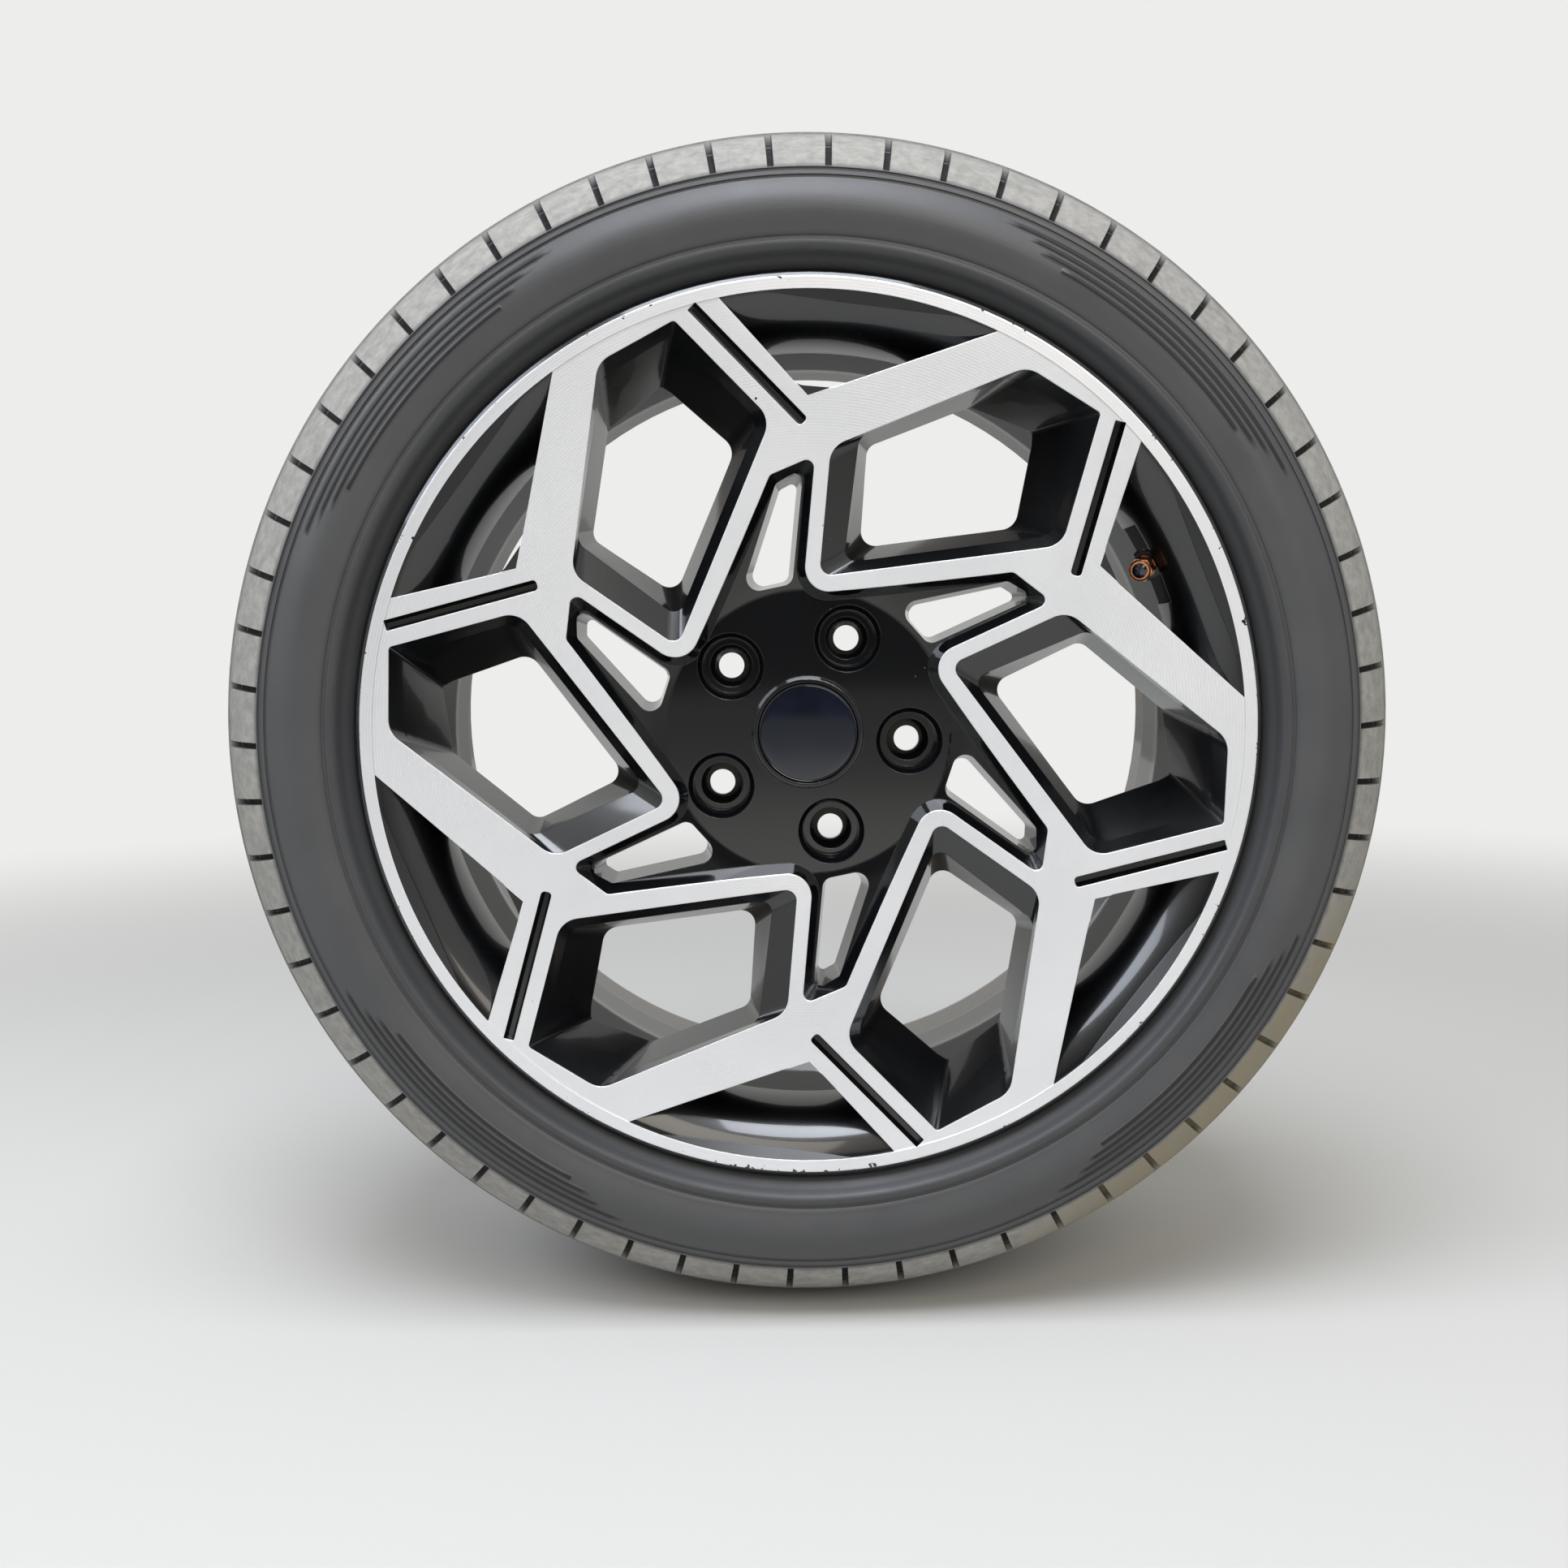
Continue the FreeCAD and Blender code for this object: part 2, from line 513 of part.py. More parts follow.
screw = turnedZ([(0, sensorZ - 7.0), (3.6, sensorZ - 7.0), (3.6, sensorZ - 4.0 - fit),
                 (1.6, sensorZ - 4.0 - fit), (1.6, sensorZ + 8.0), (0, sensorZ + 8.0)])

nodes = {
    "alloy_wheel": wheel, "tyre": tyre, "centre_cap": cap, "centre_cap_disc": badge,
    "centre_cap_spring": spring, "valve_stem": atValve(stem), "valve_grommet": atValve(grommet),
    "valve_washer": atValve(washer), "valve_nut": atValve(nut), "valve_core": atValve(core),
    "valve_pin": atValve(pin), "valve_cap": atValve(capBody), "valve_cap_dome": atValve(insert),
    "valve_cap_seal": atValve(seal), "pressure_sensor": sensor, "sensor_screw": atValve(screw)}
for name, shape in nodes.items():
    shape.exportStep("parts/" + name + ".step")
    print(name, shape.isValid(), len(shape.Solids), round(shape.Volume), len(shape.Faces))
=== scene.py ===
import math
import bmesh
import bpy
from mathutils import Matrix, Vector


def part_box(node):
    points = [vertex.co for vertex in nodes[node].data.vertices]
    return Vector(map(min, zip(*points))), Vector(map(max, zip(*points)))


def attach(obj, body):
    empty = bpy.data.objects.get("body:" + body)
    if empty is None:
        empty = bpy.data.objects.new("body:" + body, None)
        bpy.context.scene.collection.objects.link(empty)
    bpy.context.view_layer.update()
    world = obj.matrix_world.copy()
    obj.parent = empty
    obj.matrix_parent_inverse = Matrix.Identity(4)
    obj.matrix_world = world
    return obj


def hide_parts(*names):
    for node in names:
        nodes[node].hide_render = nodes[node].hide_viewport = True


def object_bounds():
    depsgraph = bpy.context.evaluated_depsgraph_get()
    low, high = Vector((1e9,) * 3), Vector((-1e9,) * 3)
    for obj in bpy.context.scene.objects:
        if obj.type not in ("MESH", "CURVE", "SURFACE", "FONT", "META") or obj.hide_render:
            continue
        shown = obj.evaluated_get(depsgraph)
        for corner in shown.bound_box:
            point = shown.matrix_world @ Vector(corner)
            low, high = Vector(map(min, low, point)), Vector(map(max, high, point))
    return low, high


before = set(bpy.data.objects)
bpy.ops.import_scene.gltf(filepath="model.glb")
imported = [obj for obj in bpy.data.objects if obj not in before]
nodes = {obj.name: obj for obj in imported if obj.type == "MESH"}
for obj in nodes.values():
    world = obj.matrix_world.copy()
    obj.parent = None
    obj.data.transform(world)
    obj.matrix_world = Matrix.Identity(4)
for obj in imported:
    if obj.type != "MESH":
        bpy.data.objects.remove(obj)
cadLow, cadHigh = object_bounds()
mm = 0.001

# shared sizes of the wheel, metres, as the casting has them
wheelForm = {
    "front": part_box("alloy_wheel")[0][1],   # y of the rim's front edge
    "faceR": 244.5 * mm,
    "faceDish": 18.0 * mm,
    "dishR": 80.0 * mm,
}
wheelForm["slope"] = wheelForm["faceDish"] / (wheelForm["faceR"] - wheelForm["dishR"])
wheelForm["apex"] = wheelForm["slope"] * wheelForm["faceR"]


def hexColour(code):
    out = []
    for i in (0, 2, 4):
        c = int(code[i:i + 2], 16) / 255
        out.append(c / 12.92 if c <= 0.04045 else ((c + 0.055) / 1.055) ** 2.4)
    return (out[0], out[1], out[2], 1.0)


def addNode(tree, kind, inputs=None, **settings):
    node = tree.nodes.new(kind)
    for key, value in settings.items():
        setattr(node, key, value)
    for key, value in (inputs or {}).items():
        if isinstance(value, bpy.types.NodeSocket):
            tree.links.new(value, node.inputs[key])
        else:
            node.inputs[key].default_value = value
    return node


def calc(tree, operation, *values):
    return addNode(tree, "ShaderNodeMath", dict(enumerate(values)), operation=operation).outputs[0]


def remap(tree, value, low, high, outLow, outHigh):
    table = {0: value, 1: low, 2: high, 3: outLow, 4: outHigh}
    return addNode(tree, "ShaderNodeMapRange", table).outputs[0]


def mixColour(tree, share, first, second):
    return addNode(tree, "ShaderNodeMix", {0: share, 6: first, 7: second}, data_type="RGBA").outputs[2]


def mixValue(tree, share, first, second):
    return addNode(tree, "ShaderNodeMix", {0: share, 2: first, 3: second}, data_type="FLOAT").outputs[0]


def noise(tree, place, size, detail, roughness=0.5):
    table = {"Vector": place, "Scale": 1 / size, "Detail": detail, "Roughness": roughness}
    return addNode(tree, "ShaderNodeTexNoise", table).outputs[0]


def dotProduct(tree, first, second):
    node = addNode(tree, "ShaderNodeVectorMath", {0: first, 1: second}, operation="DOT_PRODUCT")
    return node.outputs["Value"]


def axleRadius(tree, xyz):
    flat = addNode(tree, "ShaderNodeCombineXYZ", {0: xyz.outputs[0], 1: xyz.outputs[2]}).outputs[0]
    return addNode(tree, "ShaderNodeVectorMath", {0: flat}, operation="LENGTH").outputs["Value"]


def newMaterial(name, sockets):
    mat = bpy.data.materials.new(name)
    mat.use_nodes = True
    tree = mat.node_tree
    shader = tree.nodes["Principled BSDF"]
    for key, value in sockets.items():
        shader.inputs[key].default_value = value
    place = addNode(tree, "ShaderNodeTexCoord").outputs["Object"]
    return mat, tree, shader, place


def dress(piece, mat):
    piece.data.materials.clear()
    piece.data.materials.append(mat)


print("stage: materials")

castAlloy = {
    "paint": "08090b", "paintDust": "6f6d68", "machined": "f0f1f3", "machinedDull": "dcdee1",
    "bare": "7d766c", "bareDark": "5f5a52", "cast": "3b3b3a",
    "latheMm": 1.6, "specMm": 2.2, "grainMm": 0.9, "nickMm": 3.4, "chipEvery": 46.0,
}


def spot(share, degrees):
    # a point of the face, from its share of faceR and its angle
    a = math.radians(degrees)
    return Vector((math.cos(a), math.sin(a), 0.0)) * share * wheelForm["faceR"]


openingForm = {  # one opening behind the ring: ends of its two straight sides, share of faceR and degrees
    "sides": (((0.772, 91.2), (0.9714, 100.9)), ((0.7672, 85.6), (0.9734, 64.42))),
    "middle": 82.7, "count": 6, "ringIn": 238.1 * mm, "inset": 0.3 * mm,
}


def openingMask(tree, xyz, radius):
    # 1 inside the openings, folded onto one of them; their outer edge is the ring
    s = openingForm
    step = math.tau / s["count"]
    start = math.radians(s["middle"]) - step / 2
    angle = calc(tree, "ARCTAN2", xyz.outputs[2], xyz.outputs[0])
    fold = calc(tree, "SUBTRACT", angle, start)
    fold = calc(tree, "FLOORED_MODULO", fold, step)
    fold = calc(tree, "ADD", fold, start)
    across = calc(tree, "COSINE", fold)
    up = calc(tree, "SINE", fold)
    local = addNode(tree, "ShaderNodeCombineXYZ", {0: across, 1: up}).outputs[0]
    local = addNode(tree, "ShaderNodeVectorMath", {0: local, 3: radius}, operation="SCALE").outputs[0]
    mask = calc(tree, "LESS_THAN", radius, s["ringIn"])
    centre = spot(1.0, s["middle"])
    for inner, outer in s["sides"]:
        low = spot(*inner)
        top = spot(*outer)
        inward = Vector((-(top - low).y, (top - low).x, 0.0)).normalized()
        if inward.dot(centre - low) < 0:
            inward.negate()
        away = dotProduct(tree, local, inward)
        inside = calc(tree, "GREATER_THAN", away, inward.dot(low) + s["inset"])
        mask = calc(tree, "MULTIPLY", mask, inside)
    return mask


def wheelMaterial():
    # gloss black lacquer over cast alloy, the front turned bright on a lathe and clear coated:
    # deep black with sharp lights, and a pale satin metal with fine rings on the face
    s = castAlloy
    mat, tree, shader, place = newMaterial("clearCoatedCastAlloy", {
        "Coat Weight": 0.85, "Coat Roughness": 0.06, "Specular IOR Level": 0.5})
    xyz = addNode(tree, "ShaderNodeSeparateXYZ", {0: place})
    radius = axleRadius(tree, xyz)
    depth = calc(tree, "ADD", xyz.outputs[1], -wheelForm["front"])
    cone = calc(tree, "MULTIPLY_ADD", radius, -wheelForm["slope"], wheelForm["apex"])
    below = calc(tree, "SUBTRACT", depth, cone)
    rough = noise(tree, place, 6 * mm, 4.0)
    wobble = calc(tree, "MULTIPLY_ADD", rough, 0.5 * mm, -0.25 * mm)
    edge = calc(tree, "ADD", below, wobble)
    onFace = remap(tree, edge, 0.45 * mm, 0.25 * mm, 0.0, 1.0)
    inRing = calc(tree, "LESS_THAN", radius, wheelForm["faceR"] + 0.3 * mm)
    machined = calc(tree, "MULTIPLY", onFace, inRing)
    opening = openingMask(tree, xyz, radius)
    solid = calc(tree, "SUBTRACT", 1.0, opening)
    lacquered = calc(tree, "MULTIPLY", opening, machined)
    machined = calc(tree, "MULTIPLY", machined, solid)
    # nicks along the outer edge, worst low down where it met a kerb, and a few chips on the arms
    nickGrain = noise(tree, place, s["nickMm"] * mm, 3.0)
    nearEdge = remap(tree, radius, wheelForm["faceR"] - 2.4 * mm, wheelForm["faceR"], 0.0, 0.12)
    low = remap(tree, xyz.outputs[2], -234 * mm, -244 * mm, 0.0, 0.12)
    worn = calc(tree, "ADD", nearEdge, nickGrain)
    worn = calc(tree, "ADD", worn, low)
    nick = remap(tree, worn, 0.77, 0.80, 0.0, 1.0)
    chipCell = addNode(tree, "ShaderNodeTexVoronoi", {"Vector": place, "Scale": 1 / (s["chipEvery"] * mm)})
    chip = calc(tree, "LESS_THAN", chipCell.outputs["Distance"], 0.9 / s["chipEvery"])
    flaw = calc(tree, "MAXIMUM", nick, chip)
    sound = calc(tree, "SUBTRACT", 1.0, flaw)
    bright = calc(tree, "MULTIPLY", machined, sound)
    # dust specks on the lacquer
    spec = addNode(tree, "ShaderNodeTexVoronoi", {"Vector": place, "Scale": 1 / (s["specMm"] * 5 * mm)})
    patch = noise(tree, place, 70 * mm, 3.0)
    limit = remap(tree, patch, 0.5, 0.75, 0.0, 0.06)
    dot = calc(tree, "LESS_THAN", spec.outputs["Distance"], limit)
    paint = mixColour(tree, dot, hexColour(s["paint"]), hexColour(s["paintDust"]))
    # inside of the barrel: thin paint at the front, bare brownish alloy toward the back
    grain = noise(tree, place, s["grainMm"] * 3 * mm, 6.0)
    backGrey = remap(tree, depth, 62 * mm, 74 * mm, 0.0, 1.0)
    backBare = remap(tree, depth, 98 * mm, 103 * mm, 0.0, 1.0)
    grey = mixColour(tree, backGrey, paint, hexColour(s["cast"]))
    bareTone = mixColour(tree, grain, hexColour(s["bareDark"]), hexColour(s["bare"]))
    dark = mixColour(tree, backBare, grey, bareTone)
    metalTone = mixColour(tree, patch, hexColour(s["machinedDull"]), hexColour(s["machined"]))
    colour = mixColour(tree, bright, dark, metalTone)
    tree.links.new(colour, shader.inputs["Base Color"])
    bareMetal = calc(tree, "MULTIPLY", backBare, 0.7)
    faceMetal = calc(tree, "MULTIPLY", bright, 0.72)
    metal = calc(tree, "MAXIMUM", faceMetal, bareMetal)
    tree.links.new(metal, shader.inputs["Metallic"])
    wallRough = remap(tree, patch, 0.3, 0.8, 0.20, 0.32)
    offHub = remap(tree, radius, 84 * mm, 92 * mm, 0.0, 1.0)
    paintRough = mixValue(tree, offHub, 0.07, wallRough)
    backRough = mixValue(tree, backGrey, paintRough, 0.55)
    rings = calc(tree, "MULTIPLY", radius, math.tau / (s["latheMm"] * mm))
    wave = calc(tree, "SINE", rings)
    faceRough = remap(tree, wave, -1.0, 1.0, 0.40, 0.50)
    roughness = mixValue(tree, bright, backRough, faceRough)
    tree.links.new(roughness, shader.inputs["Roughness"])
    # lathe rings on the face (coarser than real so they show), cast grain deeper in the barrel
    faceLift = calc(tree, "MULTIPLY", wave, bright)
    castLift = calc(tree, "MULTIPLY", grain, backGrey)
    lift = calc(tree, "MULTIPLY_ADD", castLift, 4.0, faceLift)
    edges = addNode(tree, "ShaderNodeBevel", {"Radius": 0.9 * mm}, samples=4)   # edges broken by the lacquer
    # the lacquered strip under the ring shades as the cove that it runs into
    radial = addNode(tree, "ShaderNodeCombineXYZ", {0: xyz.outputs[0], 2: xyz.outputs[2]}).outputs[0]
    radial = addNode(tree, "ShaderNodeVectorMath", {0: radial}, operation="NORMALIZE").outputs[0]
    lean = addNode(tree, "ShaderNodeVectorMath", {0: radial, 1: (-0.62, -0.62, -0.62), 2: (0.0, -0.78, 0.0)},
                   operation="MULTIPLY_ADD").outputs[0]
    facing = addNode(tree, "ShaderNodeMix", {0: lacquered, 4: edges.outputs[0], 5: lean},
                     data_type="VECTOR").outputs[1]
    bump = addNode(tree, "ShaderNodeBump", {
        "Strength": 0.12, "Distance": 0.05 * mm, "Height": lift, "Normal": facing})
    tree.links.new(bump.outputs[0], shader.inputs["Normal"])
    return mat


tyreLook = {
    "side": "3d3e40", "sideWorn": "4b4b4b", "dust": "9b9993", "mud": "857a5f",
    # low: painted shade on the flank toward the rim
    # rib: tone of the darker raised ribs, also painted shade on groove and notch floors
    "low": "303133", "rib": "1a1a1b",
    "shoulderR": 300 * mm, "grainMm": 0.8,
}


def tyreMaterial():
    # moulded tyre rubber: nearly black, soft sheen on the flank, dry tan dust on the shoulder
    s = tyreLook
    mat, tree, shader, place = newMaterial("mouldedTyreRubber", {"Specular IOR Level": 0.42, "IOR": 1.52})
    xyz = addNode(tree, "ShaderNodeSeparateXYZ", {0: place})
    radius = axleRadius(tree, xyz)
    cloud = noise(tree, place, 55 * mm, 5.0, 0.6)
    grain = noise(tree, place, s["grainMm"] * 2 * mm, 4.0)
    fleck = noise(tree, place, 7 * mm, 6.0, 0.7)
    side = mixColour(tree, cloud, hexColour(s["side"]), hexColour(s["sideWorn"]))
    # painted shade: the flank darkens toward the rim flange
    inner = remap(tree, radius, 268 * mm, 256 * mm, 0.0, 0.8)
    side = mixColour(tree, inner, side, hexColour(s["low"]))
    high = remap(tree, radius, s["shoulderR"], s["shoulderR"] + 3 * mm, 0.0, 1.0)
    dusty = remap(tree, fleck, 0.35, 0.62, 0.55, 0.95)
    across = calc(tree, "ABSOLUTE", xyz.outputs[1])
    tread = remap(tree, across, 62 * mm, 84 * mm, 0.42, 1.0)
    dusty = calc(tree, "MULTIPLY", dusty, tread)
    dustMask = calc(tree, "MULTIPLY", high, dusty)
    dusted = mixColour(tree, dustMask, side, hexColour(s["dust"]))
    # painted shade on groove and notch floors, and the darker raised ribs, in the rib tone
    darkRibsAndFloorShade = addNode(tree, "ShaderNodeAttribute", attribute_name="darkRibsAndFloorShade").outputs["Fac"]
    dusted = mixColour(tree, darkRibsAndFloorShade, dusted, hexColour(s["rib"]))
    # dried mud low on the right of the outer shoulder
    lowRight = dotProduct(tree, place, (0.72, -0.25, -0.65))
    mudZone = remap(tree, lowRight, 255 * mm, 320 * mm, 0.0, 1.0)
    mudZone = calc(tree, "MULTIPLY", mudZone, high)
    mudPatch = calc(tree, "MULTIPLY", mudZone, fleck)
    mudMask = remap(tree, mudPatch, 0.30, 0.50, 0.0, 0.75)
    colour = mixColour(tree, mudMask, dusted, hexColour(s["mud"]))
    tree.links.new(colour, shader.inputs["Base Color"])
    rough = remap(tree, cloud, 0.3, 0.7, 0.38, 0.52)
    roughAll = mixValue(tree, dustMask, rough, 0.92)
    tree.links.new(roughAll, shader.inputs["Roughness"])
    bump = addNode(tree, "ShaderNodeBump", {"Strength": 0.25, "Distance": 0.15 * mm, "Height": grain})
    tree.links.new(bump.outputs[0], shader.inputs["Normal"])
    return mat


smallLooks = {
    "capPlastic": {"name": "glossBlackAbs", "colour": "0a0b0f", "other": "14161d", "metallic": 0.0,
                   "rough": (0.08, 0.2), "coat": 0.3, "grainMm": 12.0, "bump": 0.0},
    "discPlastic": {"name": "lacqueredNavyAbs", "colour": "070a14", "other": "0e1424", "metallic": 0.0,
                    "rough": (0.05, 0.14), "coat": 0.8, "grainMm": 15.0, "bump": 0.0},
    "wire": {"name": "drawnSpringSteel", "colour": "8d8e90", "other": "6f7072", "metallic": 1.0,
             "rough": (0.25, 0.4), "coat": 0.0, "grainMm": 0.8, "bump": 0.1},
    "nickel": {"name": "nickelPlatedBrass", "colour": "77787a", "other": "55565a", "metallic": 1.0,
               "rough": (0.25, 0.45), "coat": 0.0, "grainMm": 1.2, "bump": 0.1},
    "brass": {"name": "turnedBrass", "colour": "b8934f", "other": "94743a", "metallic": 1.0,
              "rough": (0.25, 0.4), "coat": 0.0, "grainMm": 1.0, "bump": 0.1},
    "copper": {"name": "copperAnodisedAlloy", "colour": "dc9a70", "other": "b8744c", "metallic": 1.0,
               "rough": (0.22, 0.36), "coat": 0.2, "grainMm": 1.4, "bump": 0.12},
    "seal": {"name": "mouldedSealRubber", "colour": "17181a", "other": "232425", "metallic": 0.0,
             "rough": (0.6, 0.8), "coat": 0.0, "grainMm": 1.0, "bump": 0.2},
    "nylon": {"name": "glassFilledNylon", "colour": "1b1c1d", "other": "262728", "metallic": 0.0,
              "rough": (0.5, 0.7), "coat": 0.0, "grainMm": 0.7, "bump": 0.2},
}


def smallMaterial(s):
    # a moulded or turned small part: slight mottling in tone and gloss, fine tool or mould grain
    mat, tree, shader, place = newMaterial(s["name"], {"Metallic": s["metallic"], "Coat Weight": s["coat"],
                                                       "Coat Roughness": 0.05})
    grain = noise(tree, place, s["grainMm"] * mm, 4.0)
    tone = mixColour(tree, grain, hexColour(s["colour"]), hexColour(s["other"]))
    tree.links.new(tone, shader.inputs["Base Color"])
    rough = remap(tree, grain, 0.3, 0.7, s["rough"][0], s["rough"][1])
    tree.links.new(rough, shader.inputs["Roughness"])
    if s["bump"]:
        bump = addNode(tree, "ShaderNodeBump", {
            "Strength": s["bump"], "Distance": 0.05 * mm, "Height": grain})
        tree.links.new(bump.outputs[0], shader.inputs["Normal"])
    return mat


alloyMat = wheelMaterial()
rubberMat = tyreMaterial()
small = {key: smallMaterial(s) for key, s in smallLooks.items()}

print("stage: wheel and small parts")


def ringTree(name):
    # repeats a piece round the wheel's axis and joins the copies where they meet
    tree = bpy.data.node_groups.new(name, "GeometryNodeTree")
    tree.interface.new_socket("Geometry", in_out="INPUT", socket_type="NodeSocketGeometry")
    sockets = {}
    for label, kind in (("Count", "NodeSocketInt"), ("Step", "NodeSocketFloat"), ("Start", "NodeSocketFloat"),
                        ("Weld", "NodeSocketFloat"), ("Finish", "NodeSocketMaterial")):
        sockets[label] = tree.interface.new_socket(label, in_out="INPUT", socket_type=kind).identifier
    tree.interface.new_socket("Geometry", in_out="OUTPUT", socket_type="NodeSocketGeometry")
    given = addNode(tree, "NodeGroupInput").outputs
    line = addNode(tree, "GeometryNodeMeshLine", {"Count": given["Count"], "Offset": (0.0, 0.0, 0.0)},
                   mode="OFFSET")
    index = addNode(tree, "GeometryNodeInputIndex").outputs[0]
    angle = calc(tree, "MULTIPLY_ADD", index, given["Step"], given["Start"])
    turn = addNode(tree, "ShaderNodeCombineXYZ", {1: angle}).outputs[0]
    copies = addNode(tree, "GeometryNodeInstanceOnPoints", {
        "Points": line.outputs[0], "Instance": given["Geometry"], "Rotation": turn})
    solid = addNode(tree, "GeometryNodeRealizeInstances", {0: copies.outputs[0]})
    weld = addNode(tree, "GeometryNodeMergeByDistance", {
        "Geometry": solid.outputs[0], "Distance": given["Weld"]})
    finish = addNode(tree, "GeometryNodeSetMaterial", {
        "Geometry": weld.outputs[0], "Material": given["Finish"]})
    addNode(tree, "NodeGroupOutput", {0: finish.outputs[0]})
    return tree, sockets


ringNodes, ringSockets = ringTree("repeatRoundAxle")


def repeatRound(name, mesh, count, step, start, mat, degrees):
    seed = bpy.data.objects.new(name + "Seed", mesh)
    bpy.context.scene.collection.objects.link(seed)
    mod = seed.modifiers.new("repeat", "NODES")
    mod.node_group = ringNodes
    given = {"Count": count, "Step": step, "Start": start, "Weld": 0.02 * mm, "Finish": mat}
    for label, value in given.items():
        mod[ringSockets[label]] = value
    bpy.context.view_layer.update()
    evaluated = seed.evaluated_get(bpy.context.evaluated_depsgraph_get())
    made = bpy.data.meshes.new_from_object(evaluated)
    seed.modifiers.remove(mod)
    bpy.data.objects.remove(seed)
    made.shade_smooth()
    made.set_sharp_from_angle(angle=math.radians(degrees))
    piece = bpy.data.objects.new(name, made)
    bpy.context.scene.collection.objects.link(piece)
    return piece


lipForm = {
    "start": (238.0, 1.6), "bend": (213.0, 10.0), "end": (211.3, 44.5),   # radius and depth, mm
    "cast": ((1.5, 238.1), (6.0, 232.0), (18.0, 223.5), (30.0, 219.5), (43.0, 212.0), (62.0, 204.5)),
    "sink": 1.0, "rows": 16, "spread": (64.1, 101.2), "columns": 32,      # degrees
    "openings": 6, "valveTurn": 25.5, "pocket": (25.0, 43.5), "pocketTurn": 6.2,
}


def lipMesh(turn, pocket):
    # lacquered cove between the ring and one opening, with the flat pocket round the valve left out
    s = lipForm
    first, last = s["spread"]
    rows = []
    for k in range(s["rows"] + 1):
        f = k / s["rows"]
        front = [(1 - f) ** 2 * u + 2 * f * (1 - f) * v + f * f * w
                 for u, v, w in zip(s["start"], s["bend"], s["end"])]
        for (d0, r0), (d1, r1) in zip(s["cast"], s["cast"][1:]):
            if d0 <= front[1] <= d1:
                behind = r0 + (r1 - r0) * (front[1] - d0) / (d1 - d0) + s["sink"]
        rows.append((front[0], behind, front[1]))
    bm = bmesh.new()
    grids = []
    for side in (0, 1):
        grid = []
        for i in range(s["columns"] + 1):
            a = math.radians(turn + first + (last - first) * i / s["columns"])
            grid.append([bm.verts.new((row[side] * mm * math.cos(a), wheelForm["front"] + row[2] * mm,
                                       row[side] * mm * math.sin(a))) for row in rows])
        grids.append(grid)

    def filled(i, j):
        if not (0 <= i < s["columns"] and 0 <= j < s["rows"]):
            return False
        angle = turn + first + (last - first) * (i + 0.5) / s["columns"]
        depth = (rows[j][2] + rows[j + 1][2]) / 2
        inPocket = abs(angle - s["valveTurn"]) < s["pocketTurn"] and s["pocket"][0] < depth < s["pocket"][1]
        return not (pocket and inPocket)

    for i in range(s["columns"]):
        for j in range(s["rows"]):
            if not filled(i, j):
                continue
            corners = ((i, j), (i + 1, j), (i + 1, j + 1), (i, j + 1))
            for grid in grids:
                bm.faces.new([grid[u][v] for u, v in corners])
            for n, (di, dj) in enumerate(((0, -1), (1, 0), (0, 1), (-1, 0))):
                if not filled(i + di, j + dj):
                    (u0, v0), (u1, v1) = corners[n], corners[(n + 1) % 4]
                    bm.faces.new((grids[0][u0][v0], grids[0][u1][v1], grids[1][u1][v1], grids[1][u0][v0]))
    loose = [v for v in bm.verts if not v.link_faces]
    bmesh.ops.delete(bm, geom=loose, context="VERTS")
    bmesh.ops.recalc_face_normals(bm, faces=bm.faces)
    mesh = bpy.data.meshes.new("lipCove")
    bm.to_mesh(mesh)
    bm.free()
    return mesh


lipStep = math.tau / lipForm["openings"]
lipPiece = repeatRound("rim_lip", lipMesh(0.0, False), lipForm["openings"] - 1, -lipStep, 0.0, alloyMat, 40)
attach(lipPiece, "wheel")
valveMesh = lipMesh(-360 / lipForm["openings"], True)
valveLip = repeatRound("rim_lip_valve", valveMesh, 1, 0.0, 0.0, alloyMat, 40)
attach(valveLip, "wheel")

finishes = {  # node: material
    "alloy_wheel": alloyMat,
    "centre_cap": small["capPlastic"],
    "centre_cap_disc": small["discPlastic"],
    "centre_cap_spring": small["wire"],
    "valve_stem": small["nickel"],
    "valve_grommet": small["seal"],
    "valve_washer": small["nickel"],
    "valve_nut": small["nickel"],
    "valve_core": small["brass"],
    "valve_pin": small["brass"],
    "valve_cap": small["copper"],
    "valve_cap_dome": small["discPlastic"],
    "valve_cap_seal": small["seal"],
    "pressure_sensor": small["nylon"],
    "sensor_screw": small["nickel"],
}
for nodeName, mat in finishes.items():
    dress(nodes[nodeName], mat)

discForm = {"steps": 96, "crown": 0.35 * mm, "edge": 0.8 * mm, "rings": 10, "bend": 6}


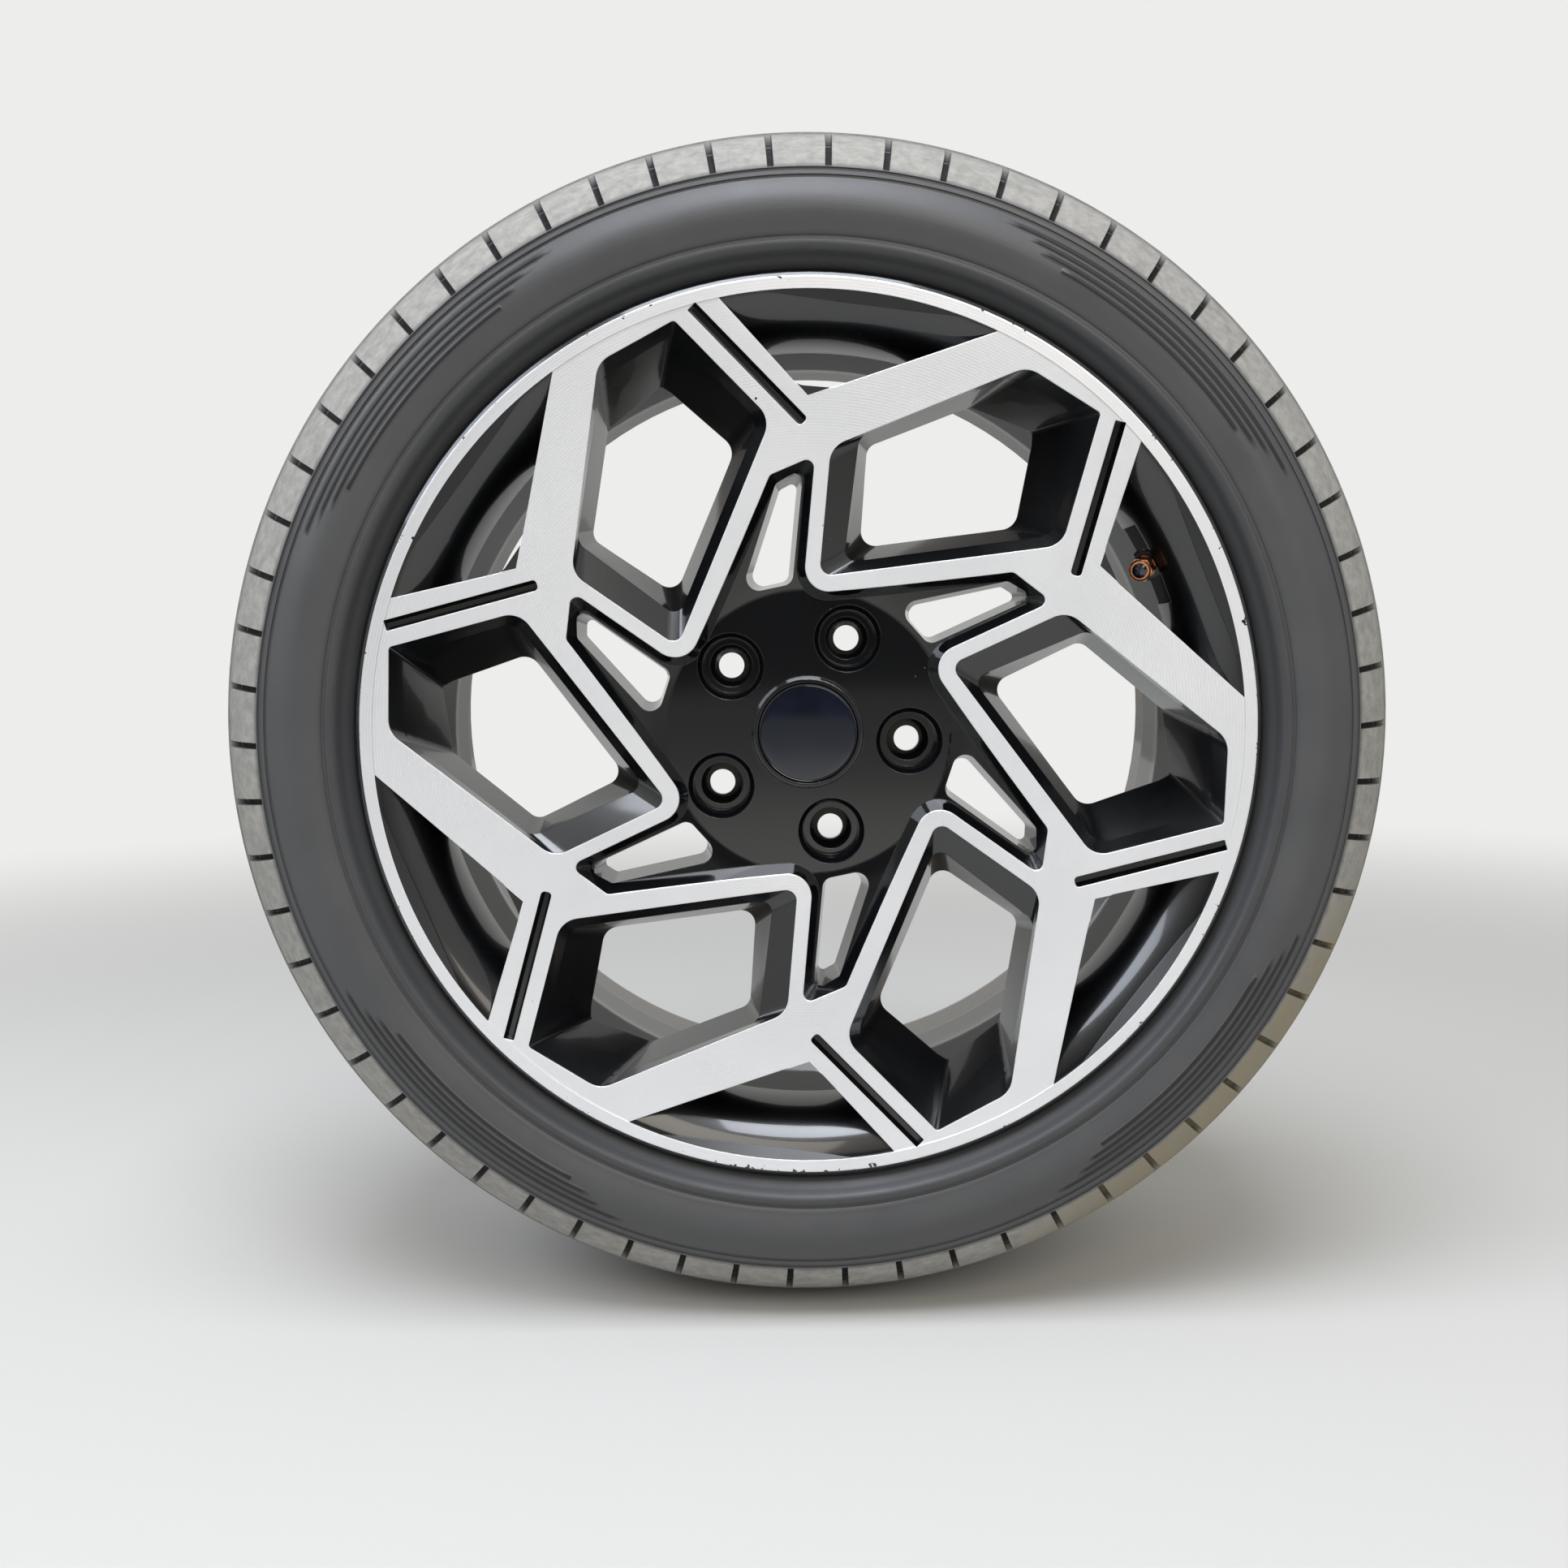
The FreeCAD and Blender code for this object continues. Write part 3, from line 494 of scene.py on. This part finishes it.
def discMesh():
    # turned disc: a faint crown and a rounded edge that catches a line of light
    s = discForm
    low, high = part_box("centre_cap_disc")
    full = (high[0] - low[0]) / 2
    flat = full - s["edge"]
    line = []
    for k in range(1, s["rings"] + 1):
        f = k / s["rings"]
        line.append((flat * f, low[1] + s["crown"] * f * f))
    for k in range(1, s["bend"] + 1):
        a = math.radians(90 * k / s["bend"])
        fall = high[1] - low[1] - s["crown"]
        line.append((flat + s["edge"] * math.sin(a), low[1] + s["crown"] + fall * (1 - math.cos(a))))
    bm = bmesh.new()
    front = bm.verts.new((0, low[1], 0))
    back = bm.verts.new((0, high[1], 0))
    rings = []
    turns = [math.tau * i / s["steps"] for i in range(s["steps"])]
    for r, y in line:
        rings.append([bm.verts.new((r * math.cos(a), y, r * math.sin(a))) for a in turns])
    for i in range(s["steps"]):
        j = (i + 1) % s["steps"]
        bm.faces.new((front, rings[0][i], rings[0][j]))
        bm.faces.new((back, rings[-1][j], rings[-1][i]))
        for inner, outer in zip(rings, rings[1:]):
            bm.faces.new((inner[i], outer[i], outer[j], inner[j]))
    bmesh.ops.recalc_face_normals(bm, faces=bm.faces)
    mesh = bpy.data.meshes.new("capDisc")
    bm.to_mesh(mesh)
    bm.free()
    mesh.shade_smooth()
    mesh.set_sharp_from_angle(angle=math.radians(40))
    return mesh


discPiece = bpy.data.objects.new("cap_face_disc", discMesh())
bpy.context.scene.collection.objects.link(discPiece)
dress(discPiece, small["discPlastic"])
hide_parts("centre_cap_disc")
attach(discPiece, "wheel")

print("stage: tyre")

tyreForm = {
    "radius": (cadHigh[2] - cadLow[2]) / 2, "half": (cadHigh[1] - cadLow[1]) / 2,
    "pitches": 62, "notchWide": 4.0 * mm, "notchDeep": 5.8 * mm, "sipeDeep": 2.6 * mm,
    "grooveDeep": 7.0 * mm, "flangeR": 248.3 * mm, "seatR": 231.0 * mm, "rimHalf": 95.25 * mm,
    "flankRows": 18, "ribWide": 1.9 * mm, "ribHigh": 0.55 * mm, "ribPlaces": (0.12, 0.26, 0.40, 0.54),
    "ribGroups": (48, 138, 228, 318), "ribReach": (19, 17, 15, 13),   # degrees
}


floorShadeRow = 9   # stands for a groove or notch floor, painted in shade, where other rows have the number of their rib


def tyreProfile():
    # (radius, y, notch share, sipe share, rib) from the crown down the flank to the bead and back inside
    t = tyreForm
    top = t["radius"]
    half = t["half"]
    deep = t["grooveDeep"]
    rows = []

    def row(r, y, notch=0.0, sipe=0.0, rib=0):
        rows.append((r, y, notch, sipe, rib))

    def crown(y):
        return top - 6.7 * mm * (abs(y) / (0.6 * half)) ** 2.6

    for centre, wide in ((0.22 * half, 11 * mm), (0.56 * half, 8.6 * mm)):
        start = 0.0 if not rows else rows[-1][1]
        stop = centre - wide / 2
        for k in range(6):
            y = start + (stop - start) * k / 5
            row(crown(y), y, 0.0, 0.0 if k in (0, 5) else 1.0)
        row(crown(stop) - 0.7 * mm, stop + 0.25 * mm)
        # groove floor rows, marked for painted shade
        row(crown(stop) - deep + 0.6 * mm, stop + 0.9 * mm, rib=floorShadeRow)
        row(crown(stop) - deep, stop + 1.7 * mm, rib=floorShadeRow)
        row(crown(stop) - deep, stop + wide - 1.7 * mm, rib=floorShadeRow)
        row(crown(stop) - deep + 0.6 * mm, stop + wide - 0.9 * mm, rib=floorShadeRow)
        row(crown(stop) - 0.7 * mm, stop + wide - 0.25 * mm)
        row(crown(stop + wide), stop + wide)
    # rounded shoulder: one bend from the last groove to the edge of the block
    edgeR, edgeY = rows[-1][0], rows[-1][1]
    bendR, bendY = top - 12.8 * mm, 0.793 * half
    lastR, lastY = top - 33.5 * mm, 0.935 * half
    for k in range(1, 15):
        f = k / 14
        r = (1 - f) ** 2 * edgeR + 2 * f * (1 - f) * bendR + f * f * lastR
        y = (1 - f) ** 2 * edgeY + 2 * f * (1 - f) * bendY + f * f * lastY
        row(r, y, 1.0 if 1 < k < 14 else 0.0)
    # two fine rib lines under the shoulder
    for drop, out in ((0.5, 0.1), (0.9, -0.7), (2.0, -0.6), (2.4, 0.5),
                      (4.4, 1.0), (4.8, 0.2), (5.9, 0.3), (6.3, 1.4)):
        row(lastR - drop * mm, lastY + out * mm)
    flankR, flankY = rows[-1][0], rows[-1][1]
    # flank bulge down to the rim protector
    lowR = t["flangeR"] + 0.20 * (top - t["flangeR"])
    shares = [(k / t["flankRows"], 0) for k in range(1, t["flankRows"] + 1)]
    for k, place in enumerate(t["ribPlaces"]):
        edge = t["ribWide"] / 2 / (flankR - lowR)
        shares = [(f, rib) for f, rib in shares if abs(f - place) > 2 * edge]
        shares += [(place - 1.3 * edge, 0), (place - edge, k + 1)]
        shares += [(place + edge, k + 1), (place + 1.3 * edge, 0)]
    for f, rib in sorted(shares):
        r = flankR + (lowR - flankR) * f
        y = flankY + (0.968 * half - flankY) * f + (half - flankY) * 0.65 * math.sin(math.pi * f) ** 1.2
        row(r, min(y, half - t["ribHigh"]), rib=rib)
    ribY = rows[-1][1]
    for dr, dy in ((1.0, -1.1), (2.6, -0.9), (3.2, 0.4), (5.0, 0.9),
                   (7.2, 0.1), (8.6, -1.8), (10.0, -4.4), (12.0, -7.4)):
        row(lowR - dr * mm, ribY + dy * mm)
    row(t["flangeR"] + 1.2 * mm, t["rimHalf"] + 6.5 * mm)
    row(t["flangeR"] + 0.2 * mm, t["rimHalf"] + 5.0 * mm)
    row(t["flangeR"] + 0.1 * mm, t["rimHalf"] + 3.0 * mm)
    row(t["flangeR"] - 1.6 * mm, t["rimHalf"] + 1.0 * mm)
    row(t["flangeR"] - 4.4 * mm, t["rimHalf"] - 0.1 * mm)
    row(t["seatR"] + 6.4 * mm, t["rimHalf"] - 0.1 * mm)
    row(t["seatR"] + 2.2 * mm, t["rimHalf"] - 1.6 * mm)
    row(t["seatR"] + 0.4 * mm, t["rimHalf"] - 5.5 * mm)
    row(t["seatR"] - 0.8 * mm, t["rimHalf"] - 17.5 * mm)
    row(t["seatR"] + 0.6 * mm, t["rimHalf"] - 19.0 * mm)
    row(t["seatR"] + 6.0 * mm, t["rimHalf"] - 18.0 * mm)
    row(t["flangeR"] - 2.0 * mm, t["rimHalf"] - 7.0 * mm)
    row(t["flangeR"] + 14.0 * mm, half - 16.0 * mm)
    row(t["flangeR"] + 34.0 * mm, half - 9.5 * mm)
    row(t["flangeR"] + 56.0 * mm, half - 16.0 * mm)
    row(top - 16.0 * mm, half - 36.0 * mm)
    row(top - 13.2 * mm, 0.3 * half)
    row(top - 12.8 * mm, 0.0)
    return rows


def pitchMesh():
    # one pitch of the tyre: columns across the block, with the notch and a fine sipe cut in
    t = tyreForm
    halfRows = tyreProfile()
    ring = [(r, -y, n, s, rib) for r, y, n, s, rib in halfRows]
    ring += [(r, y, n, s, floorShadeRow if rib == floorShadeRow else 0) for r, y, n, s, rib in reversed(halfRows[1:-1])]
    pitch = math.tau * t["radius"] / t["pitches"]
    wide = t["notchWide"]
    # (place along the pitch, notch depth share, sipe depth share)
    columns = [(0.0, 0, 0), (0.4 * mm, 1, 0), (wide - 0.4 * mm, 1, 0), (wide, 0, 0), (wide + 5 * mm, 0, 0),
               (0.5 * pitch, 0, 0), (0.5 * pitch + 0.3 * mm, 0, 1), (0.5 * pitch + 1.0 * mm, 0, 1),
               (0.5 * pitch + 1.3 * mm, 0, 0), (pitch - 7 * mm, 0, 0), (pitch, 0, 0)]
    bm = bmesh.new()
    ribLayer = bm.verts.layers.float.new("darkRibsAndFloorShade")
    grid = []
    for along, notch, sipe in columns:
        a = along / t["radius"]
        line = []
        for r, y, canNotch, canSipe, rib in ring:
            lower = r - notch * canNotch * t["notchDeep"] - sipe * canSipe * t["sipeDeep"]
            vert = bm.verts.new((lower * math.cos(a), y, lower * math.sin(a)))
            # notch floors are marked for painted shade
            vert[ribLayer] = floorShadeRow if notch * canNotch > 0.5 else rib
            line.append(vert)
        grid.append(line)
    for left, right in zip(grid, grid[1:]):
        for j in range(len(ring)):
            k = (j + 1) % len(ring)
            bm.faces.new((left[j], right[j], right[k], left[k]))
    bmesh.ops.recalc_face_normals(bm, faces=bm.faces)
    mesh = bpy.data.meshes.new("tyrePitch")
    bm.to_mesh(mesh)
    bm.free()
    return mesh


pitchStep = -math.tau / tyreForm["pitches"]
tyrePiece = repeatRound("tyre_moulding", pitchMesh(), tyreForm["pitches"], pitchStep, 0.0, rubberMat, 38)


def raiseRibs(mesh):
    # lifts the rib rows within each group; the attribute holds 1 there for the darker ribs, and in notches
    # and grooves for painted shade on their floors
    t = tyreForm
    darkRibsAndFloorShade = mesh.attributes["darkRibsAndFloorShade"].data
    for vert, mark in zip(mesh.vertices, darkRibsAndFloorShade):
        rib = round(mark.value)
        mark.value = 0.0
        if rib == floorShadeRow:
            mark.value = 1.0
        if rib in (0, floorShadeRow):
            continue
        angle = math.degrees(math.atan2(vert.co.z, vert.co.x)) % 360
        if any(abs(angle - centre) < t["ribReach"][rib - 1] for centre in t["ribGroups"]):
            vert.co.y -= t["ribHigh"]
            mark.value = 1.0


raiseRibs(tyrePiece.data)
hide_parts("tyre")
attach(tyrePiece, "wheel")

print("stage: floor, light and camera")

stageLook = {
    "floor": "c6c5c1", "back": "f5f5f3", "floorZ": cadLow[2], "fade": (1.0, 2.4),   # metres from the wheel
    "light": 0.52, "seen": 0.93, "room": 0.08, "bright": 0.70,
}


def addFloor():
    # plain pale floor that keeps the shadow near the wheel and fades into the backdrop further off
    s = stageLook
    z = s["floorZ"]
    mesh = bpy.data.meshes.new("floor")
    mesh.from_pydata([(-8, -8, z), (8, -8, z), (8, 8, z), (-8, 8, z)], [], [(0, 1, 2, 3)])
    plane = bpy.data.objects.new("floor", mesh)
    bpy.context.scene.collection.objects.link(plane)
    mat, tree, shader, place = newMaterial("paleFloorPaint", {
        "Roughness": 0.8, "Base Color": hexColour(s["floor"])})
    away = addNode(tree, "ShaderNodeVectorMath", {0: place}, operation="LENGTH").outputs["Value"]
    far = addNode(tree, "ShaderNodeMapRange", {0: away, 1: s["fade"][0], 2: s["fade"][1], 3: 0.0, 4: 1.0},
                  interpolation_type="SMOOTHSTEP").outputs[0]
    path = addNode(tree, "ShaderNodeLightPath")
    fade = calc(tree, "MULTIPLY", far, path.outputs["Is Camera Ray"])
    glow = addNode(tree, "ShaderNodeEmission", {"Color": hexColour(s["back"]), "Strength": s["seen"]})
    both = addNode(tree, "ShaderNodeMixShader", {0: fade, 1: shader.outputs[0], 2: glow.outputs[0]})
    tree.links.new(both.outputs[0], tree.nodes["Material Output"].inputs["Surface"])
    dress(plane, mat)


def addWorld():
    # even light; the backdrop is pale, and gloss sees a dim room behind the viewer and pale walls round it
    s = stageLook
    world = bpy.data.worlds.new("studio")
    bpy.context.scene.world = world
    world.use_nodes = True
    tree = world.node_tree
    sky = tree.nodes["Background"]
    sky.inputs["Color"].default_value = hexColour(s["back"])
    path = addNode(tree, "ShaderNodeLightPath")
    toward = addNode(tree, "ShaderNodeTexCoord").outputs["Generated"]
    way = addNode(tree, "ShaderNodeSeparateXYZ", {0: toward})
    room = remap(tree, way.outputs[1], -0.97, -0.6, s["room"], s["bright"])
    lit = mixValue(tree, path.outputs["Is Glossy Ray"], s["light"], room)
    seen = calc(tree, "MAXIMUM", path.outputs["Is Camera Ray"], path.outputs["Is Transmission Ray"])
    level = mixValue(tree, seen, lit, s["seen"])
    tree.links.new(level, sky.inputs["Strength"])


addFloor()
addWorld()

lamps = {  # place, aim, size, watts, colour
    "ceilingLight": ((-0.1, -0.85, 2.1), (0, -0.2, 0), 1.4, 56, "edf2fc"),
    "windowLight": ((-1.9, -0.9, 1.5), (0, 0, 0), 1.2, 24, "eaf1ff"),
    "frontLight": ((0.7, -2.3, 1.3), (0, 0, 0), 1.5, 22, "fff6ea"),
}
for name, (where, aim, size, watts, code) in lamps.items():
    data = bpy.data.lights.new(name, "AREA")
    data.size = size
    data.energy = watts
    data.color = hexColour(code)[:3]
    lamp = bpy.data.objects.new(name, data)
    lamp.location = where
    lamp.rotation_euler = (Vector(aim) - Vector(where)).to_track_quat("-Z", "Y").to_euler()
    bpy.context.scene.collection.objects.link(lamp)

cameraFit = {  # where the photograph was taken from
    "place": (-16.2 * mm, wheelForm["front"] - 875.9 * mm, 65.0 * mm),
    "turn": (90 - 5.927, -0.148, -0.72), "lens": 36.99,
}
camData = bpy.data.cameras.new("photoCamera")
camData.lens = cameraFit["lens"]
camData.sensor_width = 36.0
camData.clip_start = 0.01
camera = bpy.data.objects.new("photoCamera", camData)
camera.location = cameraFit["place"]
camera.rotation_mode = "ZYX"
camera.rotation_euler = [math.radians(v) for v in cameraFit["turn"]]
bpy.context.scene.collection.objects.link(camera)
bpy.context.scene.camera = camera
bpy.context.scene.view_settings.view_transform = "Standard"

bpy.context.view_layer.update()
print("stage: done")
